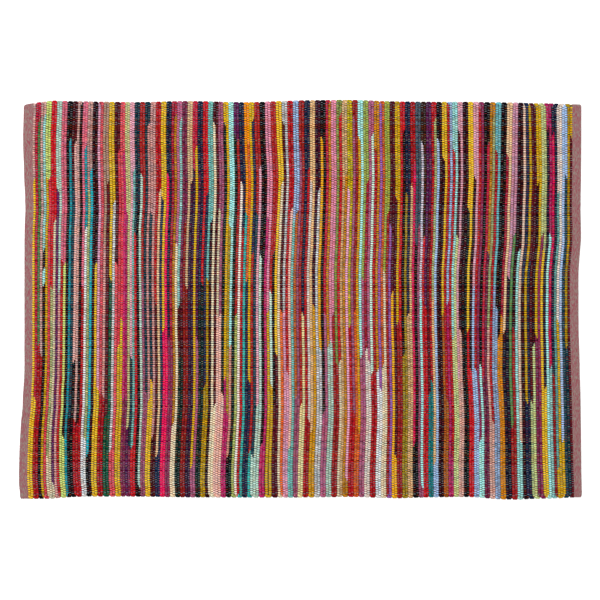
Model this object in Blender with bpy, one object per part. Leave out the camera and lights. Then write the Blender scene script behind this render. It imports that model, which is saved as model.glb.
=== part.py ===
# Rag rug: cotton rag strips woven on a cotton warp, lying flat.
# The rags run from selvedge to selvedge, along Y, and the warp runs along X. At each end the
# warp goes on into a finely woven heading, which is folded under and sewn down as a hem, so
# field, headings and hems are one piece of cloth and one solid.
# Metres, +Z up. The rug lies on z = 0, with the middle of its outline at the origin.

import math
from collections import namedtuple

import bmesh
import bpy

MM = 0.001

# Driving dimensions, before the outline's unevenness is added
RUG_LENGTH = 1.700  # along X, from hem fold to hem fold
RUG_WIDTH = 1.205  # along Y, from selvedge to selvedge
FIELD_THICKNESS = 6.5 * MM  # two crossing rags with the warp between them
PLY_THICKNESS = 1.6 * MM  # the heading, woven from thin yarn
PLY_GAP = 0.5 * MM  # between the heading and its turned-under part
HEM_END_GAP = 1.0 * MM  # between the turned-under end and the rag weave
CORNER_RADIUS = 6.0 * MM  # where a hem fold meets a selvedge

# Working sizes
FOLD_RADIUS = PLY_THICKNESS + PLY_GAP / 2
HEM_THICKNESS = 2 * FOLD_RADIUS
FIELD_DIVISIONS = 28  # along X, so that the selvedges can wander
ACROSS_DIVISIONS = 26  # along Y, so that the ends can wander
FOLD_STEPS = 6

# How far the two selvedges stand out past their straight lines, in mm.
# The place is a share of the length, from the left end.
Selvedges = namedtuple("Selvedges", "place near far")
SELVEDGES = (
    Selvedges(0.00, 4.0, -7.5),
    Selvedges(0.05, 4.0, 4.0),
    Selvedges(0.10, -3.0, 1.5),
    Selvedges(0.20, -3.0, -1.0),
    Selvedges(0.30, -0.5, 2.5),
    Selvedges(0.40, 0.0, -1.5),
    Selvedges(0.50, 0.0, 4.5),
    Selvedges(0.59, -2.0, 6.0),
    Selvedges(0.67, 2.5, 1.0),
    Selvedges(0.73, -0.5, 0.0),
    Selvedges(0.80, -2.0, 0.0),
    Selvedges(0.87, 7.0, -2.0),
    Selvedges(0.93, 4.0, -4.5),
    Selvedges(1.00, -0.5, -7.5),
)

# How far the two hem folds stand out past their straight lines, and how wide each hem is, in mm.
# The place is a share of the width, from the near selvedge.
Hems = namedtuple("Hems", "place left_out right_out left_width right_width")
HEMS = (
    Hems(0.00, 7.0, 5.0, 24.0, 21.5),
    Hems(0.03, 11.0, 4.5, 24.0, 22.0),
    Hems(0.08, 11.0, 3.5, 24.0, 23.0),
    Hems(0.16, 8.0, 2.5, 24.0, 24.0),
    Hems(0.24, 0.0, 1.5, 24.0, 25.0),
    Hems(0.33, -5.5, -1.5, 23.0, 25.0),
    Hems(0.45, -5.5, -5.0, 23.0, 25.0),
    Hems(0.57, -5.5, -5.0, 23.0, 25.0),
    Hems(0.67, -5.5, 3.0, 23.0, 25.0),
    Hems(0.74, -8.5, 1.0, 24.0, 25.0),
    Hems(0.82, -4.5, 2.5, 26.0, 25.5),
    Hems(0.91, -1.0, 3.5, 28.0, 26.0),
    Hems(1.00, -3.5, 3.5, 29.0, 26.0),
)

# The rag weave's rounded shoulder where it meets a heading, in mm.
Shoulder = namedtuple("Shoulder", "inwards height")
SHOULDER = (
    Shoulder(0.0, HEM_THICKNESS / MM),
    Shoulder(0.8, 5.6),
    Shoulder(2.6, FIELD_THICKNESS / MM),
)

# How the section thins towards a selvedge, where each rag turns round the last warp end.
# The inset is in mm from the selvedge, and kept is the share of the height that is left.
Rounding = namedtuple("Rounding", "inset kept")
SELVEDGE_ROUNDING = (
    Rounding(0.0, 0.45),
    Rounding(0.9, 0.78),
    Rounding(2.2, 0.94),
    Rounding(4.2, 1.00),
)


def reading(table, column, place):
    """The table's column at this place, eased from row to row."""
    last = table[0]
    for row in table[1:]:
        if place <= row.place:
            share = (place - last.place) / (row.place - last.place)
            eased = share * share * (3 - 2 * share)
            start, end = getattr(last, column), getattr(row, column)
            return start + (end - start) * eased
        last = row
    return getattr(last, column)


def stations():
    """(share across, share of the height kept) for each section, from the near selvedge."""
    edge = [(row.inset * MM / RUG_WIDTH, row.kept) for row in SELVEDGE_ROUNDING]
    edge.append((CORNER_RADIUS / RUG_WIDTH, 1.0))
    inner = [(i / ACROSS_DIVISIONS, 1.0) for i in range(1, ACROSS_DIVISIONS)]
    return edge + inner + [(1 - share, kept) for share, kept in reversed(edge)]


def corner_inset(across):
    """How far a rounded corner draws a hem fold in."""
    from_selvedge = min(across, 1 - across) * RUG_WIDTH
    missing = max(CORNER_RADIUS - from_selvedge, 0.0)
    return CORNER_RADIUS - math.sqrt(CORNER_RADIUS**2 - missing**2)


def fold_arc(radius, drawn_in):
    """(inwards, height) round a hem fold, from its top to its underside."""
    for i in range(FOLD_STEPS + 1):
        angle = math.pi * (0.5 + i / FOLD_STEPS)
        inwards = drawn_in + FOLD_RADIUS + radius * math.cos(angle)
        yield inwards, FOLD_RADIUS + radius * math.sin(angle)


def hem_section(hem_width, drawn_in):
    """(inwards from the fold, height) from the field's shoulder round the hem to the field's base."""
    shoulder = [(hem_width + row.inwards * MM, row.height * MM) for row in reversed(SHOULDER)]
    outside = list(fold_arc(FOLD_RADIUS, drawn_in))
    under_end = hem_width - HEM_END_GAP
    under_ply = [(under_end, 0.0), (under_end, PLY_THICKNESS)]
    inside = list(reversed(list(fold_arc(PLY_GAP / 2, drawn_in))))
    field_end = [(hem_width, PLY_THICKNESS + PLY_GAP), (hem_width, 0.0)]
    return shoulder + outside + under_ply + inside + field_end


def section(across):
    """The (x, z) outline of the whole rug at this share of its width, as one closed loop."""
    drawn_in = corner_inset(across)
    left_fold = -RUG_LENGTH / 2 - reading(HEMS, "left_out", across) * MM
    right_fold = RUG_LENGTH / 2 + reading(HEMS, "right_out", across) * MM
    left_hem = hem_section(reading(HEMS, "left_width", across) * MM, drawn_in)
    right_hem = hem_section(reading(HEMS, "right_width", across) * MM, drawn_in)
    left = [(left_fold + inwards, z) for inwards, z in left_hem]
    right = [(right_fold - inwards, z) for inwards, z in right_hem]
    top_left, top_right = left[0][0], right[0][0]
    base_left, base_right = left[-1][0], right[-1][0]
    shares = [i / FIELD_DIVISIONS for i in range(1, FIELD_DIVISIONS)]
    top = [(top_left + (top_right - top_left) * share, FIELD_THICKNESS) for share in shares]
    base = [(base_right + (base_left - base_right) * share, 0.0) for share in shares]
    return top + right + base + list(reversed(left))


def across_place(x, across):
    """The y of a point, between the two wandering selvedges."""
    along = min(max(x / RUG_LENGTH + 0.5, 0.0), 1.0)
    near = -RUG_WIDTH / 2 - reading(SELVEDGES, "near", along) * MM
    far = RUG_WIDTH / 2 + reading(SELVEDGES, "far", along) * MM
    return near + (far - near) * across


def cap_faces():
    """The faces that close the section at a selvedge, as places in the section's loop.
    They run from the top straight down to the base, and across each ply of a hem, so that the
    cap follows the selvedge as it wanders."""
    count = FIELD_DIVISIONS - 1
    total = len(section(0.0))
    hem = (total - 2 * count) // 2
    base = [2 * count + hem - 1 - i for i in range(count)]
    faces = [(i, i + 1, base[i + 1], base[i]) for i in range(count - 1)]
    # Places from the field's last top point, 0, round the hem's own points to its last base point
    arc = len(SHOULDER) + 1
    end = hem + 1
    hem_faces = [tuple(range(arc)) + (end - 2, end - 1, end)]
    hem_faces.append((arc - 1, arc, end - 3, end - 2))
    hem_faces += [(arc + i, arc + i + 1, end - 4 - i, end - 3 - i) for i in range(FOLD_STEPS)]
    under = arc + FOLD_STEPS
    hem_faces.append((under, under + 1, under + 2, under + 3))
    for face in hem_faces:
        faces.append(tuple(count - 1 + i for i in face))
        faces.append(tuple((total - i) % total for i in reversed(face)))
    return faces


def rug_mesh():
    """The sections joined into one closed skin, with its outline centred on the origin."""
    shape = bmesh.new()
    loops = []
    for across, kept in stations():
        loop = []
        for x, z in section(across):
            height = FOLD_RADIUS + (z - FOLD_RADIUS) * kept
            loop.append(shape.verts.new((x, across_place(x, across), height)))
        loops.append(loop)
    for loop, following in zip(loops, loops[1:]):
        for i in range(len(loop)):
            after = (i + 1) % len(loop)
            shape.faces.new((loop[i], loop[after], following[after], following[i]))
    caps = [shape.faces.new([loops[-1][i] for i in cap]) for cap in cap_faces()]
    caps += [shape.faces.new([loops[0][i] for i in reversed(cap)]) for cap in cap_faces()]
    bmesh.ops.triangulate(shape, faces=caps)
    for axis in (0, 1):
        places = [vertex.co[axis] for vertex in shape.verts]
        middle = (min(places) + max(places)) / 2
        for vertex in shape.verts:
            vertex.co[axis] -= middle
    mesh = bpy.data.meshes.new("rug")
    shape.to_mesh(mesh)
    shape.free()
    mesh.shade_smooth()
    mesh.set_sharp_from_angle(angle=math.radians(40))
    return mesh


def rag_weave_material():
    material = bpy.data.materials.new("rag_weave")
    material.use_nodes = True
    shader = material.node_tree.nodes["Principled BSDF"]
    shader.inputs["Base Color"].default_value = (0.36, 0.13, 0.12, 1)
    shader.inputs["Roughness"].default_value = 0.9
    shader.inputs["Metallic"].default_value = 0.0
    return material


def build():
    for old in list(bpy.data.objects):
        bpy.data.objects.remove(old)
    rug = bpy.data.objects.new("rug", rug_mesh())
    rug.data.materials.append(rag_weave_material())
    bpy.context.scene.collection.objects.link(rug)


build()
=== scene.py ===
# Rag rug: cotton rag strips woven on a cotton warp, with a fine heading hemmed under at each end.
# Metres, +Z up. The rags run along Y, from selvedge to selvedge, and the warp runs along X.
import math
import random

import bpy
import numpy as np
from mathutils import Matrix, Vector
from mathutils.bvhtree import BVHTree


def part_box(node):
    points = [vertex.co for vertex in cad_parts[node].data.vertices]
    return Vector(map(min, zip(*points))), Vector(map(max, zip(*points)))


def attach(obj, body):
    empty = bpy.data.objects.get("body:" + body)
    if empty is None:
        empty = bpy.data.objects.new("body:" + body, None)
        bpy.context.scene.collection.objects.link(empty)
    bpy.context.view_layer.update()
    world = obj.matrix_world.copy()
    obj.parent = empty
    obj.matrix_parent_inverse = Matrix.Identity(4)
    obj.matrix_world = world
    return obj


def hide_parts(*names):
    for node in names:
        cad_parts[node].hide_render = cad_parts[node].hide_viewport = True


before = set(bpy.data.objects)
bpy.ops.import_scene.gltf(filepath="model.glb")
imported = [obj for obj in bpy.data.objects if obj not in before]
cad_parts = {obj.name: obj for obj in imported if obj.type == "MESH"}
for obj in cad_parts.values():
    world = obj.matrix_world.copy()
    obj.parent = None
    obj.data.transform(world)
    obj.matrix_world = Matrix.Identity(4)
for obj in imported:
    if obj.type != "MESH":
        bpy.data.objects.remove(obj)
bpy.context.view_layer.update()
mm = 0.001


class Wire:
    # Wraps a socket, so that a pattern is written as a sum. It serves both kinds of tree.
    def __init__(self, tree, socket=None):
        self.tree = tree
        self.socket = socket

    def make(self, kind, settings=None, sockets=None, output=0):
        node = self.tree.nodes.new(kind)
        for name, value in (settings or {}).items():
            setattr(node, name, value)
        for name, value in (sockets or {}).items():
            if isinstance(value, Wire):
                self.tree.links.new(value.socket, node.inputs[name])
            else:
                node.inputs[name].default_value = value
        return Wire(self.tree, node.outputs[output])

    def reckoned(self, operation, first, second):
        return self.make("ShaderNodeMath", {"operation": operation}, {0: first, 1: second})

    def __add__(self, other):
        return self.reckoned("ADD", self, other)

    def __radd__(self, other):
        return self.reckoned("ADD", other, self)

    def __sub__(self, other):
        return self.reckoned("SUBTRACT", self, other)

    def __rsub__(self, other):
        return self.reckoned("SUBTRACT", other, self)

    def __mul__(self, other):
        return self.reckoned("MULTIPLY", self, other)

    def between(self, low, high):
        # 0 below low, 1 above high, and smooth between them
        return self.make(
            "ShaderNodeMapRange",
            {"interpolation_type": "SMOOTHSTEP"},
            {"Value": self, "From Min": low, "From Max": high},
        )

    def stretched(self, scale):
        return self.make("ShaderNodeVectorMath", {"operation": "MULTIPLY"}, {0: self, 1: scale})

    def noise(self, detail=2.0):
        return self.make("ShaderNodeTexNoise", {}, {"Vector": self, "Scale": 1.0, "Detail": detail})

    def painted(self, name):
        # A number that the mesh carries at each point
        return self.make("ShaderNodeAttribute", {"attribute_name": name}, output=2)

    def mixed(self, first, second):
        # The colours first and second, mixed by this value
        return self.make("ShaderNodeMix", {"data_type": "RGBA"}, {0: self, 6: first, 7: second}, 2)

    def multiplied(self, first, second):
        # The colour first, seen through the colour second
        settings = {"data_type": "RGBA", "blend_type": "MULTIPLY"}
        return self.make("ShaderNodeMix", settings, {0: 1.0, 6: first, 7: second}, 2)


def linear(colour):
    # The colour on screen, 0 to 255, as light
    shares = [c / 255 for c in colour]
    return tuple(s / 12.92 if s < 0.04 else ((s + 0.055) / 1.055) ** 2.4 for s in shares) + (1.0,)


def lit(colour, gain):
    # Brighter or darker, and never past white, so that the hue holds
    gain = min(gain, 1.0 / max(colour[:3]))
    return tuple(c * gain for c in colour[:3]) + (1.0,)


# The outline, felt on the CAD rug
print("feeling the outline")
outline = {
    "stations": 200,
    "hemLevel": 2.3 * mm,  # the height at which the outer edges are felt
    "shoulderLevel": 5.0 * mm,  # and the ends of the rag weave, above the headings
    "cornerRoom": 8 * mm,
    "leftRoom": 16 * mm,  # how far from the ends the selvedges are felt
    "rightRoom": 12 * mm,
    "outside": 1.0,  # where a feeler starts, in metres from the middle
}
lowest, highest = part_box("rug")
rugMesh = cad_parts["rug"].data
feeler = BVHTree.FromPolygons([v.co for v in rugMesh.vertices], [p.vertices for p in rugMesh.polygons])


def feltY(x, level, side):
    # The y where a feeler meets the rug, coming from the far side for 1 and the near side for -1
    start = Vector((x, side * outline["outside"], outline[level]))
    return feeler.ray_cast(start, Vector((0, -side, 0)))[0].y


def feltX(y, level, side):
    # The x where a feeler meets the rug, coming from the right for 1 and the left for -1
    start = Vector((side * outline["outside"], y, outline[level]))
    return feeler.ray_cast(start, Vector((-side, 0, 0)))[0].x


leftmost, rightmost = lowest.x + outline["leftRoom"], highest.x - outline["rightRoom"]
alongX = np.linspace(leftmost, rightmost, outline["stations"])
nearEdge = np.array([feltY(x, "hemLevel", -1) for x in alongX])
farEdge = np.array([feltY(x, "hemLevel", 1) for x in alongX])
nearest, farthest = nearEdge.max() + outline["cornerRoom"], farEdge.min() - outline["cornerRoom"]
acrossY = np.linspace(nearest, farthest, outline["stations"])
leftFold = np.array([feltX(y, "hemLevel", -1) for y in acrossY])
rightFold = np.array([feltX(y, "hemLevel", 1) for y in acrossY])
leftField = np.array([feltX(y, "shoulderLevel", -1) for y in acrossY])
rightField = np.array([feltX(y, "shoulderLevel", 1) for y in acrossY])


def readAt(place, places, values):
    # The value at this place, between the two nearest
    return float(np.interp(place, places, values))


def acrossAt(x, share):
    # The y at this share of the way from the near selvedge to the far one
    near, far = readAt(x, alongX, nearEdge), readAt(x, alongX, farEdge)
    return near + (far - near) * share


# The cloth's grid: every crossing of a rag and a warp end
weave = {
    "picks": 204,  # rag rows, counted from the left hem
    "ends": 347,  # warp threads, counted from the far selvedge
    "selvedgeInset": 7.0 * mm,  # from the selvedge to the outermost warp end
    # A turn at a selvedge: (share of the way to the next pick, how far past the outline its middle is)
    "turn": ((-0.04, -4.8 * mm), (0.12, -3.2 * mm), (0.88, -3.2 * mm), (1.04, -4.8 * mm)),
    "lastReach": -1.5 * mm,  # how far past the outline the first and last rag ends are
    "pickPitch": 8.09 * mm,  # before the rows are fitted between the headings
    "rowWander": 1.21 * mm,  # how unevenly a row is beaten up along its length
    "rowShift": 0.385 * mm,  # how unevenly whole rows are
    "endWander": 0.44 * mm,  # how far a warp end strays from its line
    "seed": 11,
}
smoothing = {"lean": 31, "row": 25, "end": 15, "fold": 9}  # how many places each window spans
# How far these picks lean to the right of a straight line, in mm, at these shares of the way from
# the far selvedge to the near one
leanPlaces = (0.0, 0.19, 0.32, 0.45, 0.69, 0.82, 1.0)
leanRows = {
    0: (-1, 0, 1, 1, -1, -10, -16),
    15: (-0.5, -1.5, 0, -1.5, -6.5, -13.5, -11.5),
    25: (-4, -3, -1, -3, -6.5, -9.5, -15),
    33: (-1.5, 3.5, 5, 5, 0, -3, -7),
    41: (-6.5, -2, -7, -5.5, -2.5, -3.5, -11.5),
    56: (-4.5, -2.5, -5.5, -9.5, -6.5, -11.5, -20),
    76: (-10, -3, -8, -10.5, -14.5, -16.5, -27),
    89: (-12.5, -2.5, -6.5, -12.5, -10.5, -12.5, -23.5),
    93: (-10.5, 1, -7, -12, -9.5, -9.5, -12.5),
    105: (-2.5, 0, -6, -11, -6.5, -9, -17),
    113: (-3.5, 0.5, -4, -8.5, -2.5, -2, -12),
    131: (-0.5, 3.5, -1.5, -4.5, 0.5, 1.5, -6),
    145: (-3.5, 0.5, -4, -6, -0.5, -3, -3),
    162: (-3.5, 0, -8, -16.5, -9.5, -5.5, -10.5),
    169: (-4, -1.5, -8, -16, -15.5, -10, -12),
    180: (4, 0, -7, -15.5, -19.5, -13, -11.5),
    187: (3.5, 8, 1.5, -11, -6.5, -7.5, -5.5),
    195: (0, 5, 0.5, -10, -5, -5.5, -0.5),
    204: (1, 1, -1, -9, -2, -1, 3),
}


def smoothed(rows, width):
    # Runs a soft window along the last axis, with the ends held
    window = np.hanning(width + 2)[1:-1]
    padded = np.pad(rows, [(0, 0)] * (rows.ndim - 1) + [(width // 2, width // 2)], mode="edge")
    return np.apply_along_axis(lambda r: np.convolve(r, window / window.sum(), "valid"), -1, padded)


def layGrid():
    # x and y of every crossing of a pick and a warp end
    draw = np.random.default_rng(weave["seed"])
    picks, ends = weave["picks"], weave["ends"]
    share = np.arange(ends) / (ends - 1)
    lean = np.array([np.interp(share, leanPlaces, row) for row in leanRows.values()]) * mm
    lean = smoothed(lean, smoothing["lean"])
    known = list(leanRows)
    bounds = np.array([np.interp(np.arange(picks + 1), known, column) for column in lean.T]).T
    bounds += np.arange(picks + 1)[:, None] * weave["pickPitch"]
    uneven = smoothed(draw.normal(0, 1, (picks + 1, ends)), smoothing["row"]) * weave["rowWander"]
    uneven += draw.normal(0, 1, (picks + 1, 1)) * weave["rowShift"]
    uneven[0] = uneven[-1] = 0
    bounds = bounds + uneven
    y = farEdge.mean() + (nearEdge.mean() - farEdge.mean()) * share
    left, right = np.interp(y, acrossY, leftField), np.interp(y, acrossY, rightField)
    bounds = left + (bounds - bounds[0]) * (right - left) / (bounds[-1] - bounds[0])
    gridX = (bounds[1:] + bounds[:-1]) / 2
    inset = weave["selvedgeInset"]
    far = np.interp(gridX, alongX, farEdge) - inset
    near = np.interp(gridX, alongX, nearEdge) + inset
    gridY = far + (near - far) * share[None, :]
    gridY += smoothed(draw.normal(0, 1, (ends, picks)), smoothing["end"]).T * weave["endWander"]
    return gridX, gridY


print("laying the grid")
gridX, gridY = layGrid()

# Each dye as it looks on the outermost fold of a rag
ragColours = {
    "pinkBeige": (190, 145, 140), "tan": (210, 170, 120), "beigePink": (225, 190, 170),
    "crimson": (160, 25, 52), "lime": (172, 186, 100), "mint": (200, 232, 216), "rose": (210, 100, 125),
    "rosePink": (238, 145, 175), "aqua": (150, 212, 210), "teal": (8, 148, 165),
    "deepTeal": (5, 100, 105), "turquoise": (45, 165, 160), "darkTeal": (10, 50, 65),
    "tealBlue": (92, 160, 170), "greyTeal": (100, 165, 160), "black": (12, 8, 14),
    "blackBrown": (40, 20, 15), "blackMaroon": (35, 6, 18), "blackGreen": (8, 32, 28),
    "navyBlack": (18, 16, 38), "maroon": (70, 12, 25), "yellow": (252, 205, 45),
    "mustard": (182, 145, 14), "mustardLime": (200, 178, 20), "coral": (255, 75, 95),
    "coralPink": (250, 172, 155), "peachPink": (252, 195, 182), "peach": (252, 212, 165),
    "palePink": (255, 238, 228), "sage": (168, 178, 120), "khaki": (165, 160, 110),
    "cream": (248, 230, 195), "paleOlive": (218, 205, 148), "white": (245, 235, 225),
    "purple": (80, 22, 74), "darkPlum": (55, 10, 38), "plum": (115, 35, 72),
    "mauve": (158, 82, 115), "mauveBeige": (185, 132, 130), "orchid": (228, 160, 190),
    "pink": (250, 180, 202), "violet": (132, 78, 150), "magenta": (168, 30, 92),
    "hotPink": (225, 20, 90), "roseRed": (198, 72, 85), "red": (172, 18, 30),
    "brick": (148, 28, 30), "green": (75, 125, 72), "leafGreen": (132, 148, 70),
    "darkGreen": (10, 75, 52), "oliveGreen": (138, 148, 58), "olive": (145, 122, 28),
    "taupe": (145, 115, 100), "brown": (150, 80, 25), "rustBrown": (165, 82, 32),
    "rust": (202, 90, 35), "ochre": (182, 120, 24), "orangeOchre": (235, 150, 25),
    "orange": (250, 150, 10), "amber": (250, 182, 28), "navy": (18, 32, 62),
    "navyPlum": (45, 20, 50), "slate": (60, 80, 96), "paleGrey": (195, 197, 200),
    "paleBlue": (142, 168, 205), "paleLilac": (205, 198, 215),
}
# Each pick from the left hem, far selvedge first: a colour, then where the next one takes over,
# as a per cent of the way to the near selvedge. A slash or a new line starts the next pick.
pickChart = """
pinkBeige 19 yellow/crimson 75 yellow/crimson 4 green 61 red/pinkBeige 64 red
pinkBeige 3 aqua 37 black 42 aqua 46 black/lime 19 mustard/lime 19 coral/red 47 sage 90 cream
red 30 cream/mint 22 purple 97 cream/mint 48 mauveBeige/rose 40 red/rose 41 lime/black 85 lime
black 9 teal/maroon 20 darkTeal 80 black/maroon 10 pinkBeige 66 black/pinkBeige 81 red/black 82 red
rose 47 red/rose 11 teal 32 paleGrey/pinkBeige 22 sage 86 paleGrey/pinkBeige 17 teal 90 black
blackMaroon/blackMaroon 41 yellow/orchid 73 yellow/roseRed 74 red/taupe 36 mauveBeige 75 red
taupe 20 maroon 80 darkGreen/yellow 45 darkGreen/yellow 25 paleGrey 89 roseRed/maroon 41 roseRed
maroon 12 coral 62 yellow/roseRed 25 coral 55 yellow/roseRed 12 magenta 76 plum/khaki 28 magenta 76 plum
khaki 83 purple/pink 65 darkTeal 88 plum/pink 17 greyTeal 88 red/darkTeal 33 red/darkTeal 25 black
brick 18 mint 98 black/brick 45 mauve/darkTeal 74 mauve/darkTeal 5 mauveBeige 76 yellow
mauveBeige 28 darkTeal 71 yellow/mauveBeige 85 maroon/red 51 maroon/red 22 peach 90 navy/yellow 24 navy
yellow 58 hotPink/navy 18 hotPink/navy 60 plum/crimson 62 plum/crimson 3 ochre 82 cream/mauve 36 cream
mauve 4 aqua 52 maroon 65 blackGreen/plum 50 maroon 65 blackGreen/plum 30 brick/peach 47 brick
peach 20 navyPlum/crimson 17 navyPlum/crimson 11 mustard 93 mauve/navy 17 purple 60 mauve
navy 50 blackGreen/red 46 blackGreen/red 23 navy 72 mustard/greyTeal 45 mustard/greyTeal 30 blackMaroon
maroon 5 cream/maroon 77 cream/mauve 27 cream 54 peachPink/mauve 54 peachPink
mustard 5 blackGreen 74 peachPink/mustard 70 magenta/aqua 31 olive 79 magenta/aqua 62 coralPink 90 black
purple 8 blackGreen/purple 9 brick 54 lime/navy 20 white/navy 32 red/orange 28 turquoise
orange 10 rust 45 navy/mustard 71 navy/mustard 4 navy 38 brick 89 turquoise/brick 28 darkTeal 90 mint
brick 16 pink 77 mint/black 39 mint/black 87 magenta/rosePink 29 magenta/rosePink 53 yellow
brick 48 mint 72 yellow/brick 38 black 77 maroon/yellow 64 maroon/yellow 20 cream
paleGrey 5 maroon 53 rust/paleGrey 53 orchid/red 69 orchid/red 27 peachPink 88 greyTeal
paleBlue 30 greyTeal/paleBlue 28 rustBrown 75 mauve/brick 12 mauve/brick 77 paleOlive/navy 54 paleOlive
navy 17 red/tan 20 palePink 81 brick/tan 84 amber/darkPlum 52 amber/darkPlum 22 paleGrey
black 9 amber 63 paleGrey/black 79 mauve/crimson 54 mauve/ochre 62 mint/rosePink 61 mint
rosePink 54 brick/leafGreen 67 brick/leafGreen 3 red 66 cream/tan/tan 18 ochre
mustardLime 22 orchid 96 ochre/mustardLime 57 red/brick 4 mauve 79 red/brick 53 rust
aqua 9 amber 84 rust/aqua 65 mauve/leafGreen 45 mauve/leafGreen 20 crimson 63 palePink
mauve 66 palePink/mauve 8 mint 69 red/ochre 12 red/ochre 68 paleGrey/violet 73 paleGrey
rust 67 cream/oliveGreen 43 cream/oliveGreen 28 brick/maroon 31 violet/maroon 48 amber
mustard 24 maroon 90 amber/mustard 56 brick/red 60 brick/red 7 black 64 olive/navy 23 olive/navy 54 tan
red 21 tan/red 15 hotPink 87 black/slate 36 black/slate 31 mauve
blackBrown 10 paleLilac 50 aqua 98 mauve/blackBrown 34 red/purple 52 red/purple 27 maroon 74 deepTeal
red 71 deepTeal/red 4 sage 50 tan 92 paleBlue/black 9 paleBlue/blackMaroon/yellow 14 blackMaroon
yellow 54 brown/red 76 brown/paleBlue 51 magenta/aqua 12 red 90 magenta/aqua 60 sage
pink 7 maroon 34 sage/pink 70 peachPink/blackMaroon 58 peachPink/blackMaroon 50 black
yellow 27 blackGreen/yellow 58 red/pink 19 blackMaroon 68 red/pink 47 paleBlue
mauve 1 red 68 paleBlue/plum 86 aqua/black 67 aqua/black 10 crimson 70 plum/ochre 38 plum
ochre 3 sage 57 peachPink/tealBlue 12 red 81 peachPink/tealBlue 46 paleBlue/black 52 paleBlue
black 59 orangeOchre/peach 13 crimson 54 orangeOchre/peach 58 navyBlack/orchid 44 navyBlack
orchid 33 green 82 brick/blackMaroon 57 brick/blackMaroon 37 aqua/beigePink 86 aqua
navy 45 blackMaroon/mustard 76 navy/maroon 40 navy/maroon 76 sage/mustard 20 blackMaroon 61 sage
mustard 59 plum/sage 33 plum/sage 37 yellow/magenta 6 navyBlack 72 yellow/magenta 33 aqua
navy 7 hotPink 67 aqua/navy 69 brick/palePink 22 greyTeal 93 mustard/palePink 55 mustard
paleBlue 86 mustard/paleBlue 18 darkTeal/mustard 62 darkTeal/mustard 8 maroon
"""


def readChart():
    # For each pick, the colour at every warp end
    rows = []
    for entry in pickChart.replace("\n", "/").split("/"):
        words = entry.split()
        if not words:
            continue
        colours = words[0::2]
        limits = [float(word) / 100 for word in words[1::2]] + [math.inf]
        row = []
        for end in range(weave["ends"]):
            share = end / (weave["ends"] - 1)
            row.append(next(colour for colour, limit in zip(colours, limits) if share < limit))
        rows.append(row)
    return rows


def sweepTree():
    # Threads drawn as bare edges become closed three-sided strips: raised where side is 1 and lowered
    # where it is -1, fuller on top, thinner where another thread presses them down.
    tree = bpy.data.node_groups.new("sweptThread", "GeometryNodeTree")
    face = tree.interface
    face.new_socket("Threads", in_out="INPUT", socket_type="NodeSocketGeometry")
    for name in ("Width", "Ridge Height", "Base Depth", "Middle Level", "Rise", "Waist", "Unevenness"):
        face.new_socket(name, in_out="INPUT", socket_type="NodeSocketFloat")
    face.new_socket("Seed", in_out="INPUT", socket_type="NodeSocketInt")
    face.new_socket("Cloth", in_out="INPUT", socket_type="NodeSocketMaterial")
    face.new_socket("Strips", in_out="OUTPUT", socket_type="NodeSocketGeometry")
    start = tree.nodes.new("NodeGroupInput")
    given = {socket.name: Wire(tree, socket) for socket in start.outputs if socket.name}
    wire = Wire(tree)

    def attribute(name):
        return wire.make("GeometryNodeInputNamedAttribute", {"data_type": "FLOAT"}, {"Name": name})

    side, fullness = attribute("side"), attribute("fullness")
    curve = wire.make("GeometryNodeMeshToCurve", {}, {"Mesh": given["Threads"]})
    lift = given["Middle Level"] + side * given["Rise"]
    offset = wire.make("ShaderNodeCombineXYZ", {}, {"Z": lift})
    curve = wire.make("GeometryNodeSetPosition", {}, {"Geometry": curve, "Offset": offset})
    curve = wire.make("GeometryNodeSetCurveNormal", {"mode": "Z_UP"}, {"Curve": curve})
    chance = wire.make(
        "FunctionNodeRandomValue", {"data_type": "FLOAT"}, {"Seed": given["Seed"]}, output=1
    )
    uneven = 1 + (chance - 0.5) * given["Unevenness"]
    pressed = (1 - side) * 0.5
    full = fullness * uneven * (1 - pressed * (1 - given["Waist"]))
    # The section: a ridge on top and a flat base
    half = given["Width"] * 0.5
    corners = []
    ridge, base = given["Ridge Height"] * -1, given["Base Depth"]
    for x, y in ((0, ridge), (half, base), (half * -1, base)):
        corners.append(wire.make("ShaderNodeCombineXYZ", {}, {"X": x, "Y": y}))
    section = wire.make("GeometryNodeCurvePrimitiveCircle", {"mode": "RADIUS"}, {"Resolution": 3})
    index = wire.make("GeometryNodeInputIndex")
    place = corners[0]
    for i in (1, 2):
        settings = {"data_type": "INT", "operation": "EQUAL"}
        chosen = wire.make("FunctionNodeCompare", settings, {2: index, 3: i})
        sockets = {0: chosen, 1: place, 2: corners[i]}
        place = wire.make("GeometryNodeSwitch", {"input_type": "VECTOR"}, sockets)
    section = wire.make("GeometryNodeSetPosition", {}, {"Geometry": section, "Position": place})
    strips = wire.make(
        "GeometryNodeCurveToMesh",
        {},
        {"Curve": curve, "Profile Curve": section, "Scale": full, "Fill Caps": True},
    )
    strips = wire.make("GeometryNodeSetShadeSmooth", {}, {"Geometry": strips})
    strips = wire.make("GeometryNodeRealizeInstances", {}, {"Geometry": strips})
    strips = wire.make("GeometryNodeSetMaterial", {}, {"Geometry": strips, "Material": given["Cloth"]})
    finish = tree.nodes.new("NodeGroupOutput")
    tree.links.new(strips.socket, finish.inputs["Strips"])
    return tree


sweep = sweepTree()


def shownPiece(name, data):
    piece = bpy.data.objects.new(name, data)
    bpy.context.scene.collection.objects.link(piece)
    return piece


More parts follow.
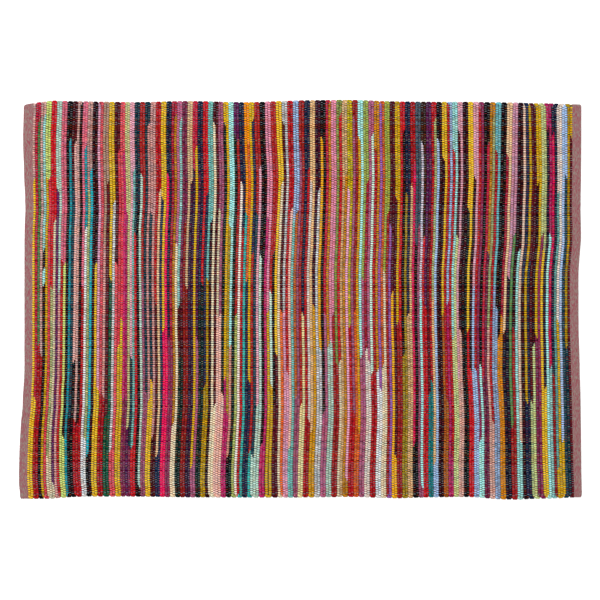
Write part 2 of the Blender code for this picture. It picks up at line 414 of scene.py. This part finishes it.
def sweptPiece(name, threads, sizes, material, seed):
    # threads: lists of (x, y, side, fullness, shade)
    points, edges = [], []
    for thread in threads:
        first = len(points)
        points += thread
        edges += [(first + i, first + i + 1) for i in range(len(thread) - 1)]
    mesh = bpy.data.meshes.new(name + "Paths")
    mesh.from_pydata([(p[0], p[1], 0.0) for p in points], edges, [])
    for column, label in ((2, "side"), (3, "fullness"), (4, "shade")):
        attribute = mesh.attributes.new(label, "FLOAT", "POINT")
        attribute.data.foreach_set("value", [p[column] for p in points])
    paths = shownPiece(name + "Paths", mesh)
    modifier = paths.modifiers.new("sweep", "NODES")
    modifier.node_group = sweep
    values = dict(sizes, Seed=seed, Cloth=material)
    for item in sweep.interface.items_tree:
        if item.in_out == "INPUT" and item.name in values:
            modifier[item.identifier] = values[item.name]
    shown = paths.evaluated_get(bpy.context.evaluated_depsgraph_get())
    result = bpy.data.meshes.new_from_object(shown)
    result.name = name
    bpy.data.objects.remove(paths)
    return shownPiece(name, result)


clothLook = {"specular": 0.04, "bump": 0.6}
objectPlace = 3  # the output of a Texture Coordinate node that holds Object coordinates


def clothShader(name):
    # A matt material, its shader, and a wire and a place to build its pattern from
    material = bpy.data.materials.new(name)
    material.use_nodes = True
    shader = material.node_tree.nodes["Principled BSDF"]
    shader.inputs["Specular IOR Level"].default_value = clothLook["specular"]
    wire = Wire(material.node_tree)
    return material, shader, wire, wire.make("ShaderNodeTexCoord", output=objectPlace)


def finishShader(wire, shader, colour, roughness, height, distance):
    sockets = {"Strength": clothLook["bump"], "Distance": distance, "Height": height}
    bump = wire.make("ShaderNodeBump", {}, sockets)
    for socket, value in (("Base Color", colour), ("Roughness", roughness), ("Normal", bump)):
        wire.tree.links.new(value.socket, shader.inputs[socket])


ragLook = {
    "gain": 1.16,  # the cloth's own brightness, as some of it lies in shade
    "depth": 0.50,  # how dark its dark patches are: painted shade in the crease hollows, and random tone
    "lift": 1.50,  # how pale its pale patches are: painted light on the crease tops, and random tone
    "paintedCreviceShade": 0.10,  # how dark the painted shade is where a warp thread presses the rag down
    "warm": (1.0, 0.90, 0.80, 1.0),
    "cool": (0.88, 0.97, 1.0, 1.0),
    "fibreLift": 1.7,  # how pale single fibres are
    "creaseScale": (420.0, 130.0, 420.0),  # folds along the strip
    "patchScale": (70.0, 190.0, 70.0),  # tone from bead to bead
    "fibreScale": (1700.0, 700.0, 1700.0),
    "castScale": (120.0, 60.0, 120.0),  # where the cloth leans warm or cool
    "creaseDepth": 0.5 * mm,
}


def ragCloth(name, rgb):
    material, shader, wire, place = clothShader(name)
    shade, side = wire.painted("shade"), wire.painted("side")
    base = lit(linear(rgb), ragLook["gain"])
    creases = place.stretched(ragLook["creaseScale"]).noise(2.0)
    patches = place.stretched(ragLook["patchScale"]).noise(1.0)
    fibres = place.stretched(ragLook["fibreScale"]).noise(1.0)
    # The creases also raise the bump, so this tone paints shade into the crease hollows and light onto
    # their tops; the patches and each strip's own value are the cloth's real tone
    tone = creases * 0.4 + patches * 0.45 + shade * 0.15
    dark = lit(base, ragLook["depth"])
    pale = lit(base, ragLook["lift"])
    colour = tone.between(0.36, 0.62).mixed(dark, pale)
    cast = place.stretched(ragLook["castScale"]).noise(1.0)
    tint = cast.between(0.36, 0.64).mixed(ragLook["cool"], ragLook["warm"])
    colour = wire.multiplied(colour, tint)
    colour = (fibres.between(0.5, 0.8) * 0.35).mixed(colour, lit(base, ragLook["fibreLift"]))
    # Painted shade: the rag is darkened where a warp thread presses it down into the weave
    colour = side.between(-0.9, 0.5).mixed(lit(base, ragLook["paintedCreviceShade"]), colour)
    height = creases * 0.7 + fibres * 0.25
    finishShader(wire, shader, colour, 0.82 + fibres * 0.15, height, ragLook["creaseDepth"])
    return material


yarnLook = {
    "gain": 1.1,
    "depth": 0.7,
    "lift": 1.25,
    "dipShade": 0.05,  # how dark the painted shade is where the yarn dips between the rags
    "twistScale": (900.0, 900.0, 900.0),
    "patchScale": (60.0, 260.0, 60.0),
    "twistDepth": 0.2 * mm,
}


def yarn(name, rgb):
    material, shader, wire, place = clothShader(name)
    twist = place.stretched(yarnLook["twistScale"]).noise(1.0)
    patches = place.stretched(yarnLook["patchScale"]).noise(1.0)
    base = lit(linear(rgb), yarnLook["gain"])
    dark, pale = lit(base, yarnLook["depth"]), lit(base, yarnLook["lift"])
    # The twist also raises the bump, so this paints shade into the twist's grooves; the patches are the
    # yarn's own tone
    colour = (twist * 0.5 + patches * 0.5).between(0.35, 0.65).mixed(dark, pale)
    # Painted shade: the yarn is darkened where it dips between the rags
    paintedDipShade = lit(base, yarnLook["dipShade"])
    colour = wire.painted("side").between(-0.2, 0.8).mixed(paintedDipShade, colour)
    finishShader(wire, shader, colour, 0.85 + twist * 0.1, twist, yarnLook["twistDepth"])
    return material


def weftPath():
    # One rag after another, to and fro over the whole rug: (x, y, side, colour)
    rows = readChart()
    draw = random.Random(weave["seed"])
    picks, ends = weave["picks"], weave["ends"]
    print("picks charted:", len(rows))
    x = gridX[0, 0]
    path = [(x, readAt(x, alongX, farEdge) + weave["lastReach"], 0.0, rows[0][0])]
    for pick in range(picks):
        order = range(ends) if pick % 2 == 0 else range(ends - 1, -1, -1)
        for end in order:
            side = 1.0 if (pick + end) % 2 == 0 else -1.0
            path.append((gridX[pick, end], gridY[pick, end], side, rows[pick][end]))
        if pick == picks - 1:
            break
        end = order[-1]
        edge, outwards = (nearEdge, -1) if pick % 2 == 0 else (farEdge, 1)
        x0, x1 = gridX[pick, end], gridX[pick + 1, end]
        colour = draw.choice((rows[pick][end], rows[pick + 1][end]))
        for share, out in weave["turn"]:
            x = x0 + (x1 - x0) * share
            path.append((x, readAt(x, alongX, edge) + outwards * out, 0.0, colour))
    x = gridX[-1, 0]
    path.append((x, readAt(x, alongX, farEdge) + weave["lastReach"], 0.0, rows[-1][0]))
    return path


ragStrips = {
    "sizes": {
        "Width": 12.4 * mm, "Ridge Height": 2.7 * mm, "Base Depth": 1.9 * mm, "Middle Level": 2.95 * mm,
        "Rise": 0.95 * mm, "Waist": 0.82, "Unevenness": 0.12,
    },
    "overlap": 2,  # warp ends that a rag runs on past a change of colour
    "taper": (0.42, 0.66, 0.85, 0.95),  # a cut end's fullness, from its tip
    "sideStep": 1.4 * mm,  # how far a rag's end lies to one side where two overlap
    "stepEnds": 5,  # warp ends over which it gets there
    "turnFullness": 0.86,  # a rag is drawn in where it turns at a selvedge
    "seed": 12,
}


def ragThreads():
    # The path cut where the colour changes, as threads for each colour
    path = weftPath()
    draw = random.Random(ragStrips["seed"])
    overlap, taper, stepEnds = ragStrips["overlap"], ragStrips["taper"], ragStrips["stepEnds"]
    starts = [0] + [i for i in range(1, len(path)) if path[i][3] != path[i - 1][3]] + [len(path)]
    threads = {}
    for first, last in zip(starts, starts[1:]):
        low, high = max(first - overlap, 0), min(last + overlap, len(path))
        shade = draw.random()
        thread = []
        for i in range(low, high):
            x, y, side, _ = path[i]
            fromStart, fromEnd = i - low, high - 1 - i
            # The rug's own first and last rag ends are neither thinned nor moved aside
            tips = [fromStart] * (low > 0) + [fromEnd] * (high < len(path))
            fullness = taper[min(tips)] if tips and min(tips) < len(taper) else 1.0
            if side == 0.0:
                fullness *= ragStrips["turnFullness"]
            aside = 0.0
            if low and fromStart < stepEnds:
                aside = ragStrips["sideStep"] * (1 - fromStart / stepEnds)
            if high < len(path) and fromEnd < stepEnds:
                aside = -ragStrips["sideStep"] * (1 - fromEnd / stepEnds)
            thread.append((x + aside, y, side, fullness, shade))
        threads.setdefault(path[first][3], []).append(thread)
    return threads


print("weaving the rags")
pieces = []
for number, (colourName, threads) in enumerate(sorted(ragThreads().items())):
    pieceName = "rags" + colourName[0].upper() + colourName[1:]
    cloth = ragCloth(colourName + "Rag", ragColours[colourName])
    pieces.append((sweptPiece(pieceName, threads, ragStrips["sizes"], cloth, number), "rag_weave"))
print("rag pieces:", len(pieces))

warp = {
    "sizes": {
        "Width": 0.75 * mm, "Ridge Height": 0.45 * mm, "Base Depth": 0.4 * mm, "Middle Level": 3.05 * mm,
        "Rise": 1.9 * mm, "Waist": 0.9, "Unevenness": 0.15,
    },
    "yarns": {
        "Pale": (172, 180, 186), "Cream": (210, 185, 150), "Rose": (185, 70, 75), "Rust": (200, 90, 28),
        "Teal": (90, 140, 140), "Dark": (10, 4, 7),
    },
    # How often each yarn comes, as shares added up
    "shares": (("Pale", 0.32), ("Cream", 0.52), ("Rose", 0.78), ("Rust", 0.90), ("Teal", 1.0)),
    "seed": 13,  # for the order of the yarns
    "firstSeed": 500,  # for the unevenness of the first yarn, and one more for each that follows
    "darkFullness": 2.2,
    "edgeFullness": 1.2,  # of the stout threads beside the selvedges
    "runInFullness": 0.8,
    "shade": 0.5,
    # How a thread runs in under a heading: (how far past the last rag's middle, side)
    "runIn": ((3.2 * mm, 0.1), (6.5 * mm, -0.75)),
    # Where the dark threads lie, as shares from the far selvedge
    "dark": (
        0.029, 0.072, 0.098, 0.122, 0.15, 0.172, 0.199, 0.221, 0.254, 0.28, 0.326, 0.4, 0.445, 0.468,
        0.527, 0.575, 0.602, 0.625, 0.673, 0.73, 0.775, 0.834, 0.865, 0.884, 0.914, 0.94,
    ),
}


def warpThreads():
    draw = random.Random(warp["seed"])
    ends, picks = weave["ends"], weave["picks"]
    dark = {round(share * (ends - 1)) for share in warp["dark"]}
    threads = {}
    for end in range(ends):
        chance = draw.random()
        yarnName = next(name for name, upTo in warp["shares"] if chance <= upTo)
        fullness = 1.0
        if end in dark:
            yarnName, fullness = "Dark", warp["darkFullness"]
        if end in (1, 2, ends - 3, ends - 2):
            yarnName, fullness = "Pale", warp["edgeFullness"]
        thread = []
        thin, shade = fullness * warp["runInFullness"], warp["shade"]
        for past, side in reversed(warp["runIn"]):
            thread.append((gridX[0, end] - past, gridY[0, end], side, thin, shade))
        for pick in range(picks):
            side = -1.0 if (pick + end) % 2 == 0 else 1.0
            thread.append((gridX[pick, end], gridY[pick, end], side, fullness, shade))
        for past, side in warp["runIn"]:
            thread.append((gridX[-1, end] + past, gridY[-1, end], side, thin, shade))
        threads.setdefault(yarnName, []).append(thread)
    return threads


print("stretching the warp")
for number, (yarnName, threads) in enumerate(sorted(warpThreads().items())):
    material = yarn("warp" + yarnName, warp["yarns"][yarnName])
    seed = warp["firstSeed"] + number
    pieces.append((sweptPiece("warp" + yarnName, threads, warp["sizes"], material, seed), "warp"))

heading = {
    "ply": 1.6 * mm,
    "gap": 0.5 * mm,
    "endGap": 1.0 * mm,
    "underField": 1.5 * mm,  # how far the top ply runs in under the first rag
    "stations": 260,
    "foldSteps": 8,
    "topSteps": 8,
    "cornerRadius": 3 * mm,
    "cornerReach": 0.6,  # the share of the heading's depth over which a corner's rounding fades
    "span": 1.2,  # the rug's width, near enough for the corners and the thin edges
    "readAt": 12 * mm,  # how far in from the fold the selvedges are read
    "puff": 0.35 * mm,
    "foldWander": 0.24 * mm,
    "thinEdge": 2 * mm,  # the heading is pressed thinner this near a selvedge
    "thinnest": 0.6,
    "weftPitch": 1.3 * mm,
    "warpPitch": 1.75 * mm,
    "ribUnevenness": 1.2,
    "ribDepth": 0.5 * mm,
    "yarns": ((138, 92, 96), (140, 58, 72), (136, 132, 120)),  # mauve, rose and grey-green
    "shaded": 0.55,  # how dark the yarn is where painted shade falls between the ribs, and where its grain is dark
    "roseScale": (760.0, 75.0, 60.0),
    "greenScale": (690.0, 95.0, 40.0),
    "grainScale": (1300.0, 650.0, 600.0),
    "seeds": {"headingLeft": 16, "headingRight": 17},
}


def headingSection(width):
    # (inwards from the fold, height) round the folded cloth, top first
    ply, gap = heading["ply"], heading["gap"]
    radius = ply + gap / 2
    inner = width + heading["underField"]
    points = []
    for i in range(heading["topSteps"]):
        share = i / heading["topSteps"]
        x = inner + (radius - inner) * share
        points.append((x, 2 * radius + heading["puff"] * math.sin(math.pi * share)))
    turns = [math.pi * (0.5 + i / heading["foldSteps"]) for i in range(heading["foldSteps"] + 1)]
    points += [(radius + radius * math.cos(a), radius + radius * math.sin(a)) for a in turns]
    points += [(width - heading["endGap"], 0.0), (width - heading["endGap"], ply)]
    points += [(radius + gap / 2 * math.cos(a), radius + gap / 2 * math.sin(a)) for a in reversed(turns)]
    points += [(inner, ply + gap)]
    return points


def headingPiece(name, fold, field, inwards, material):
    # inwards is 1 for the left heading and -1 for the right one
    draw = np.random.default_rng(heading["seeds"][name])
    steps = heading["stations"]
    wobble = smoothed(draw.normal(0, 1, steps + 1), smoothing["fold"]) * heading["foldWander"]
    radius = heading["cornerRadius"]
    level = heading["ply"] + heading["gap"] / 2
    middle = fold.mean() + inwards * heading["readAt"]
    vertices, rings = [], []
    for i in range(steps + 1):
        share = i / steps
        middleY = acrossAt(middle, share)
        fromEdge = min(share, 1 - share) * heading["span"]
        missing = max(radius - fromEdge, 0.0)
        drawnIn = radius - math.sqrt(radius**2 - missing**2)
        foldX = readAt(middleY, acrossY, fold)
        width = abs(readAt(middleY, acrossY, field) - foldX)
        fade = heading["cornerReach"] * width
        thinnest = heading["thinnest"]
        thin = thinnest + (1 - thinnest) * min(fromEdge / heading["thinEdge"], 1.0) ** 0.5
        ring = []
        for along, height in headingSection(width):
            x = foldX + inwards * (along + drawnIn * max(1 - along / fade, 0.0) + wobble[i])
            ring.append(len(vertices))
            vertices.append((x, acrossAt(x, share), level + (height - level) * thin))
        rings.append(ring)
    faces = []
    for ring, following in zip(rings, rings[1:]):
        for i in range(len(ring)):
            after = (i + 1) % len(ring)
            quad = (ring[i], ring[after], following[after], following[i])
            faces.append(quad if inwards > 0 else quad[::-1])
    caps = [tuple(reversed(rings[0])), tuple(rings[-1])]
    faces += caps if inwards > 0 else [cap[::-1] for cap in caps]
    mesh = bpy.data.meshes.new(name)
    mesh.from_pydata(vertices, [], faces)
    mesh.update()
    mesh.shade_smooth()
    mesh.set_sharp_from_angle(angle=math.radians(50))
    mesh.materials.append(material)
    return shownPiece(name, mesh)


def melange():
    # Fine wefts of mauve, rose and grey-green yarn along Y, packed over the warp into ribs
    material, shader, wire, place = clothShader("headingMelange")

    def bands(direction, pitch):
        # The wave texture turns 20 radians for each unit of its scale
        uneven = heading["ribUnevenness"]
        sockets = {"Vector": place, "Scale": math.tau / 20 / pitch, "Distortion": uneven}
        return wire.make("ShaderNodeTexWave", {"bands_direction": direction}, sockets, 1)

    roseFlecks = place.stretched(heading["roseScale"]).noise(1.0)
    greenFlecks = place.stretched(heading["greenScale"]).noise(1.0)
    grain = place.stretched(heading["grainScale"]).noise(1.0)
    ribs = bands("X", heading["weftPitch"]) * 0.6 + bands("Y", heading["warpPitch"]) * 0.4
    mauve, rose, green = (linear(rgb) for rgb in heading["yarns"])
    colour = roseFlecks.between(0.46, 0.62).mixed(mauve, rose)
    colour = greenFlecks.between(0.48, 0.62).mixed(colour, green)
    # Painted shade between the ribs, mixed with the yarn's own darker grain
    shaded = lit(mauve, heading["shaded"])
    colour = (grain * 0.5 + ribs * 0.5).between(0.15, 0.55).mixed(shaded, colour)
    height = ribs * 0.6 + grain * 0.3 + roseFlecks * 0.1
    finishShader(wire, shader, colour, 0.85 + grain * 0.1, height, heading["ribDepth"])
    return material


print("folding the headings")
melangeCloth = melange()
for name, fold, field, inwards in (
    ("headingLeft", leftFold, leftField, 1),
    ("headingRight", rightFold, rightField, -1),
):
    piece = headingPiece(name, fold, field, inwards, melangeCloth)
    pieces.append((piece, "heading"))

shadeSheetLayout = {
    "along": 90,
    "across": 60,
    "low": 1.1 * mm,
    "high": 1.8 * mm,
    "inset": 6 * mm,  # from the selvedges and the headings
    "shadeColours": ((28, 18, 18), (60, 42, 40)),  # painted shade, as the inner folds look in the gaps between the rags
    "mottleScale": (500.0, 500.0, 500.0),
    "mottleDepth": 0.3 * mm,
}


def shadeSheetPiece():
    # A thin closed sheet low in the cloth, which stands for the rags' packed inner folds and is coloured
    # dark as painted shade, seen in the gaps between the rags
    inset, columns = shadeSheetLayout["inset"], []
    for i in range(shadeSheetLayout["along"] + 1):
        for j in range(shadeSheetLayout["across"] + 1):
            down, across = i / shadeSheetLayout["along"], j / shadeSheetLayout["across"]
            y = nearEdge.mean() + (farEdge.mean() - nearEdge.mean()) * across
            left, right = readAt(y, acrossY, leftField) + inset, readAt(y, acrossY, rightField) - inset
            x = left + (right - left) * down
            near, far = readAt(x, alongX, nearEdge) + inset, readAt(x, alongX, farEdge) - inset
            columns.append((x, near + (far - near) * across))
    count = len(columns)
    vertices = [(x, y, shadeSheetLayout["high"]) for x, y in columns] + [(x, y, shadeSheetLayout["low"]) for x, y in columns]
    wide = shadeSheetLayout["across"] + 1
    faces = []
    for i in range(shadeSheetLayout["along"]):
        for j in range(shadeSheetLayout["across"]):
            a = i * wide + j
            top = (a, a + wide, a + wide + 1, a + 1)
            faces.append(top)
            faces.append(tuple(v + count for v in reversed(top)))
    rim = [i * wide for i in range(shadeSheetLayout["along"] + 1)]
    rim += [shadeSheetLayout["along"] * wide + j for j in range(1, wide)]
    rim += [i * wide + wide - 1 for i in range(shadeSheetLayout["along"] - 1, -1, -1)]
    rim += list(range(wide - 2, 0, -1))
    for a, b in zip(rim, rim[1:] + rim[:1]):
        faces.append((a, a + count, b + count, b))
    mesh = bpy.data.meshes.new("paintedShadeSheet")
    mesh.from_pydata(vertices, [], faces)
    mesh.update()
    material, shader, wire, place = clothShader("paintedShadeCloth")
    mottle = place.stretched(shadeSheetLayout["mottleScale"]).noise(2.0)
    dark, pale = (linear(rgb) for rgb in shadeSheetLayout["shadeColours"])
    # The sheet's colour is painted shade, mottled
    colour = mottle.between(0.35, 0.65).mixed(dark, pale)
    finishShader(wire, shader, colour, 0.9 + mottle * 0.1, mottle, shadeSheetLayout["mottleDepth"])
    mesh.materials.append(material)
    return shownPiece("paintedShadeSheet", mesh)


shadeSheet = shadeSheetPiece()
pieces.append((shadeSheet, "rag_weave"))

for piece, slotName in pieces:
    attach(piece, "root")
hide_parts("rug")

triangles = sum(len(piece.data.loop_triangles) for piece, _ in pieces)
print("triangles:", triangles)

stage = {
    "floorSize": 14.0,
    "floorLevel": -0.2 * mm,
    "skyStrength": 1.06,
    "keyPower": 164.0,
    "keySize": 3.0,
    "keyPlace": (-2.2, 3.0, 4.2),
    "cameraPlace": (-1.1 * mm, -0.8 * mm, 7.2),
    "viewWidth": 1.83,  # how much of the floor the camera takes in, in metres
    "filmWidth": 36.0,
}


def floorPiece():
    half = stage["floorSize"] / 2
    mesh = bpy.data.meshes.new("floor")
    corners = [(-half, -half), (half, -half), (half, half), (-half, half)]
    mesh.from_pydata([(x, y, stage["floorLevel"]) for x, y in corners], [], [(0, 1, 2, 3)])
    material = bpy.data.materials.new("paleFloor")
    material.use_nodes = True
    shader = material.node_tree.nodes["Principled BSDF"]
    shader.inputs["Base Color"].default_value = (1.0, 1.0, 1.0, 1)
    shader.inputs["Roughness"].default_value = 1.0
    shader.inputs["Specular IOR Level"].default_value = 0.0
    mesh.materials.append(material)
    return shownPiece("floor", mesh)


print("setting the stage")
floorPiece()
world = bpy.data.worlds.new("studio")
world.use_nodes = True
world.node_tree.nodes["Background"].inputs["Color"].default_value = (1, 1, 1, 1)
world.node_tree.nodes["Background"].inputs["Strength"].default_value = stage["skyStrength"]
bpy.context.scene.world = world
lamp = bpy.data.lights.new("softKey", "AREA")
lamp.energy = stage["keyPower"]
lamp.shape = "SQUARE"
lamp.size = stage["keySize"]
key = shownPiece("softKey", lamp)
key.location = stage["keyPlace"]
key.rotation_euler = (-key.location).to_track_quat("-Z", "Y").to_euler()

lens = bpy.data.cameras.new("camera")
lens.sensor_width = stage["filmWidth"]
lens.lens = stage["filmWidth"] * stage["cameraPlace"][2] / stage["viewWidth"]
lens.clip_end = 50
camera = shownPiece("camera", lens)
camera.location = stage["cameraPlace"]
bpy.context.scene.camera = camera
bpy.context.scene.view_settings.view_transform = "Standard"
